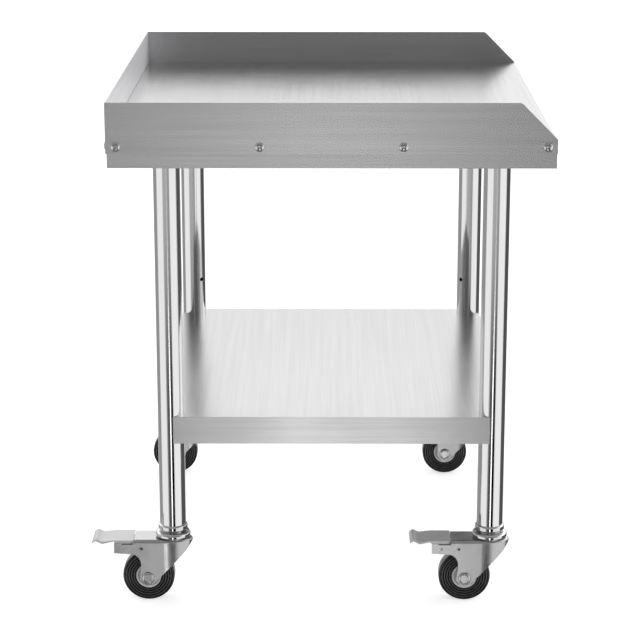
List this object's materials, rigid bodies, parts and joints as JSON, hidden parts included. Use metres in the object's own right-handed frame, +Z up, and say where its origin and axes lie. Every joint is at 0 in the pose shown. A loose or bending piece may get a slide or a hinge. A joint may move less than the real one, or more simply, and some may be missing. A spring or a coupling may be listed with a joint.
{
  "type": "stainless equipment stand",
  "caption": "Low stainless work table with splashes on three sides, round legs, a rimmed undershelf and swivel casters, two with foot brakes.",
  "frame": {"origin": "on the floor, under the middle of the whole object's box, brake pedals included", "axes": "+Z up; the open front of the table faces -Y; its length runs along X, with the braked casters at -X; all four casters trail towards +Y at rest"},
  "size_m": [0.72, 0.6518, 0.744],
  "materials": {
    "brushed_sheet": "satin, brushed along the sheet's length",
    "galvanised_steel": "dull, galvanised",
    "cast_socket": "rough cast, plated",
    "fastener_steel": "polished stainless",
    "leg_tube": "polished tube",
    "chromed_steel": "bright chrome",
    "bright_steel": "turned and plated",
    "zinc_plated_steel": "satin zinc plate",
    "grey_hub": "light grey moulding",
    "black_rubber": "matt rubber"
  },
  "bodies": {
    "table": {"tabletop": "brushed_sheet", "rear_splash": "brushed_sheet", "left_splash": "brushed_sheet", "right_splash": "brushed_sheet", "splash_screws": "fastener_steel", "splash_nuts": "fastener_steel", "left_channel": "galvanised_steel", "right_channel": "galvanised_steel", "centre_channel": "galvanised_steel", "socket_bolts": "fastener_steel", "undershelf": "brushed_sheet", "shelf_channel": "galvanised_steel", "shelf_screws": "fastener_steel", "leg_socket_front_left": "cast_socket", "leg_front_left": "leg_tube", "leg_insert_front_left": "chromed_steel", "caster_stem_front_left": "bright_steel", "swivel_cap_front_left": "chromed_steel", "swivel_balls_front_left": "bright_steel", "leg_socket_rear_left": "cast_socket", "leg_rear_left": "leg_tube", "leg_insert_rear_left": "chromed_steel", "caster_stem_rear_left": "bright_steel", "swivel_cap_rear_left": "chromed_steel", "swivel_balls_rear_left": "bright_steel", "leg_socket_front_right": "cast_socket", "leg_front_right": "leg_tube", "leg_insert_front_right": "chromed_steel", "caster_stem_front_right": "bright_steel", "swivel_cap_front_right": "chromed_steel", "swivel_balls_front_right": "bright_steel", "leg_socket_rear_right": "cast_socket", "leg_rear_right": "leg_tube", "leg_insert_rear_right": "chromed_steel", "caster_stem_rear_right": "bright_steel", "swivel_cap_rear_right": "chromed_steel", "swivel_balls_rear_right": "bright_steel"},
    "caster_front_left": {"fork_front_left": "zinc_plated_steel", "axle_front_left": "bright_steel", "pedal_pin_front_left": "bright_steel"},
    "wheel_front_left": {"hub_front_left": "grey_hub", "tyre_front_left": "black_rubber"},
    "brake_front_left": {"brake_pedal_front_left": "zinc_plated_steel", "brake_shoe_front_left": "black_rubber"},
    "caster_rear_left": {"fork_rear_left": "zinc_plated_steel", "axle_rear_left": "bright_steel", "pedal_pin_rear_left": "bright_steel"},
    "wheel_rear_left": {"hub_rear_left": "grey_hub", "tyre_rear_left": "black_rubber"},
    "brake_rear_left": {"brake_pedal_rear_left": "zinc_plated_steel", "brake_shoe_rear_left": "black_rubber"},
    "caster_front_right": {"fork_front_right": "zinc_plated_steel", "axle_front_right": "bright_steel"},
    "wheel_front_right": {"hub_front_right": "grey_hub", "tyre_front_right": "black_rubber"},
    "caster_rear_right": {"fork_rear_right": "zinc_plated_steel", "axle_rear_right": "bright_steel"},
    "wheel_rear_right": {"hub_rear_right": "grey_hub", "tyre_rear_right": "black_rubber"}
  },
  "joints": [
    {"name": "swivel_front_left", "type": "hinge", "parent": "table", "child": "caster_front_left", "pos_m": [-0.2805, -0.25045, 0.0956], "axis": [0, 0, 1], "continuous": true},
    {"name": "roll_front_left", "type": "hinge", "parent": "caster_front_left", "child": "wheel_front_left", "pos_m": [-0.2805, -0.21445, 0.0375], "axis": [1, 0, 0], "continuous": true},
    {"name": "brake_lift_front_left", "type": "hinge", "parent": "caster_front_left", "child": "brake_front_left", "pos_m": [-0.2805, -0.20545, 0.0826], "axis": [1, 0, 0], "range_deg": [0, 10]},
    {"name": "swivel_rear_left", "type": "hinge", "parent": "table", "child": "caster_rear_left", "pos_m": [-0.2805, 0.20955, 0.0956], "axis": [0, 0, 1], "continuous": true},
    {"name": "roll_rear_left", "type": "hinge", "parent": "caster_rear_left", "child": "wheel_rear_left", "pos_m": [-0.2805, 0.24555, 0.0375], "axis": [1, 0, 0], "continuous": true},
    {"name": "brake_lift_rear_left", "type": "hinge", "parent": "caster_rear_left", "child": "brake_rear_left", "pos_m": [-0.2805, 0.25455, 0.0826], "axis": [1, 0, 0], "range_deg": [0, 10]},
    {"name": "swivel_front_right", "type": "hinge", "parent": "table", "child": "caster_front_right", "pos_m": [0.2805, -0.25045, 0.0956], "axis": [0, 0, 1], "continuous": true},
    {"name": "roll_front_right", "type": "hinge", "parent": "caster_front_right", "child": "wheel_front_right", "pos_m": [0.2805, -0.21445, 0.0375], "axis": [1, 0, 0], "continuous": true},
    {"name": "swivel_rear_right", "type": "hinge", "parent": "table", "child": "caster_rear_right", "pos_m": [0.2805, 0.20955, 0.0956], "axis": [0, 0, 1], "continuous": true},
    {"name": "roll_rear_right", "type": "hinge", "parent": "caster_rear_right", "child": "wheel_rear_right", "pos_m": [0.2805, 0.24555, 0.0375], "axis": [1, 0, 0], "continuous": true}
  ]
}
